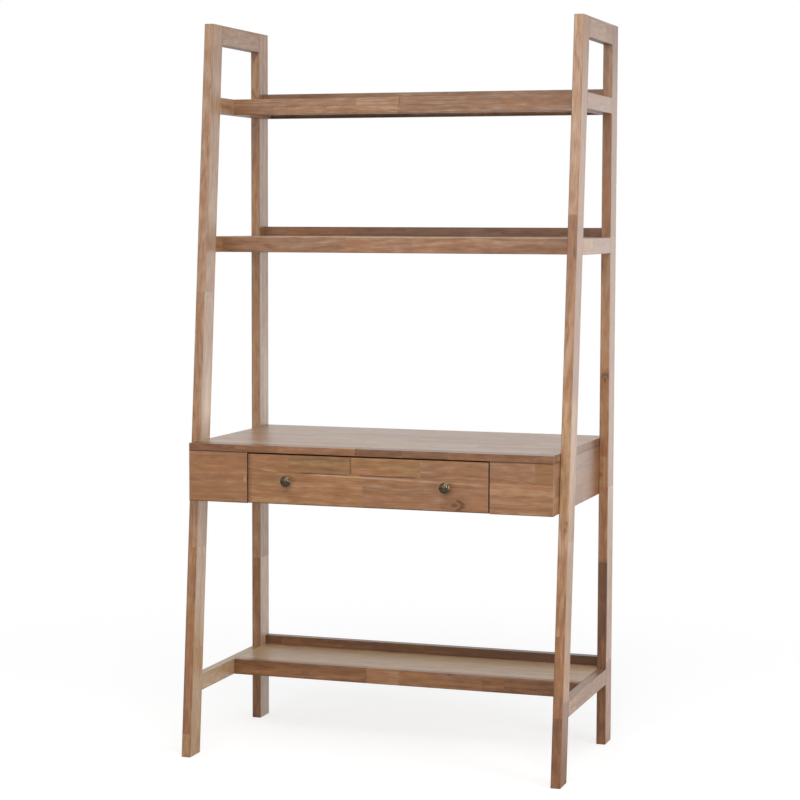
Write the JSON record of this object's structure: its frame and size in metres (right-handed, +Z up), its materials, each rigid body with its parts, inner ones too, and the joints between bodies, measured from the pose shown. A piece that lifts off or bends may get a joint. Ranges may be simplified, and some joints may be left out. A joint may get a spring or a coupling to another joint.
{
  "type": "ladder desk",
  "caption": "Free-standing ladder desk of solid wood: slanted front legs, open shelves above and below, and a desk case with a flush drawer and round knobs.",
  "frame": {"origin": "bottom centre of the whole desk's box, on the floor", "axes": "+X to the sitter's right, +Y to the back, +Z up; the drawer opens along -Y"},
  "size_m": [0.94, 0.535, 1.764],
  "materials": {
    "acacia": "satin",
    "drawer_wood": "satin",
    "antique_brass": "aged",
    "slide_steel": "zinc plated",
    "screw_steel": "zinc plated"
  },
  "bodies": {
    "desk_frame": {"left_front_leg": "acacia", "left_rear_leg": "acacia", "left_top_rail": "acacia", "left_upper_rail": "acacia", "left_middle_rail": "acacia", "left_lower_rail": "acacia", "right_front_leg": "acacia", "right_rear_leg": "acacia", "right_top_rail": "acacia", "right_upper_rail": "acacia", "right_middle_rail": "acacia", "right_lower_rail": "acacia", "top_shelf_panel": "acacia", "top_shelf_apron": "acacia", "top_shelf_back_rail": "acacia", "top_shelf_left_cleat": "acacia", "top_shelf_right_cleat": "acacia", "middle_shelf_panel": "acacia", "middle_shelf_apron": "acacia", "middle_shelf_back_rail": "acacia", "middle_shelf_left_cleat": "acacia", "middle_shelf_right_cleat": "acacia", "lower_shelf_panel": "acacia", "lower_shelf_apron": "acacia", "lower_shelf_back_rail": "acacia", "lower_shelf_left_cleat": "acacia", "lower_shelf_right_cleat": "acacia", "desktop": "acacia", "case_back": "acacia", "case_left_side": "acacia", "case_right_side": "acacia", "left_flank": "acacia", "right_flank": "acacia", "left_divider": "acacia", "right_divider": "acacia", "left_slide_case_member": "slide_steel", "right_slide_case_member": "slide_steel", "shelf_screws": "screw_steel", "case_screws": "screw_steel", "slide_case_screws": "screw_steel"},
    "drawer": {"drawer_front": "acacia", "drawer_box_front": "drawer_wood", "drawer_left_side": "drawer_wood", "drawer_right_side": "drawer_wood", "drawer_back": "drawer_wood", "drawer_bottom": "drawer_wood", "left_knob": "antique_brass", "right_knob": "antique_brass", "left_slide_drawer_member": "slide_steel", "right_slide_drawer_member": "slide_steel", "slide_drawer_screws": "screw_steel", "drawer_front_screws": "screw_steel", "knob_screws": "screw_steel"},
    "left_slide_middle": {"left_slide_middle_member": "slide_steel"},
    "right_slide_middle": {"right_slide_middle_member": "slide_steel"}
  },
  "joints": [
    {"name": "drawer_slide", "type": "slide", "parent": "desk_frame", "child": "drawer", "axis": [0, -1, 0], "range_m": [0, 0.38]},
    {"name": "left_slide_middle_travel", "type": "slide", "parent": "desk_frame", "child": "left_slide_middle", "axis": [0, -1, 0], "range_m": [0, 0.19]},
    {"name": "right_slide_middle_travel", "type": "slide", "parent": "desk_frame", "child": "right_slide_middle", "axis": [0, -1, 0], "range_m": [0, 0.19]}
  ],
  "couplings": [
    {"joint": "left_slide_middle_travel", "follows": "drawer_slide", "ratio": 0.5},
    {"joint": "right_slide_middle_travel", "follows": "drawer_slide", "ratio": 0.5}
  ]
}
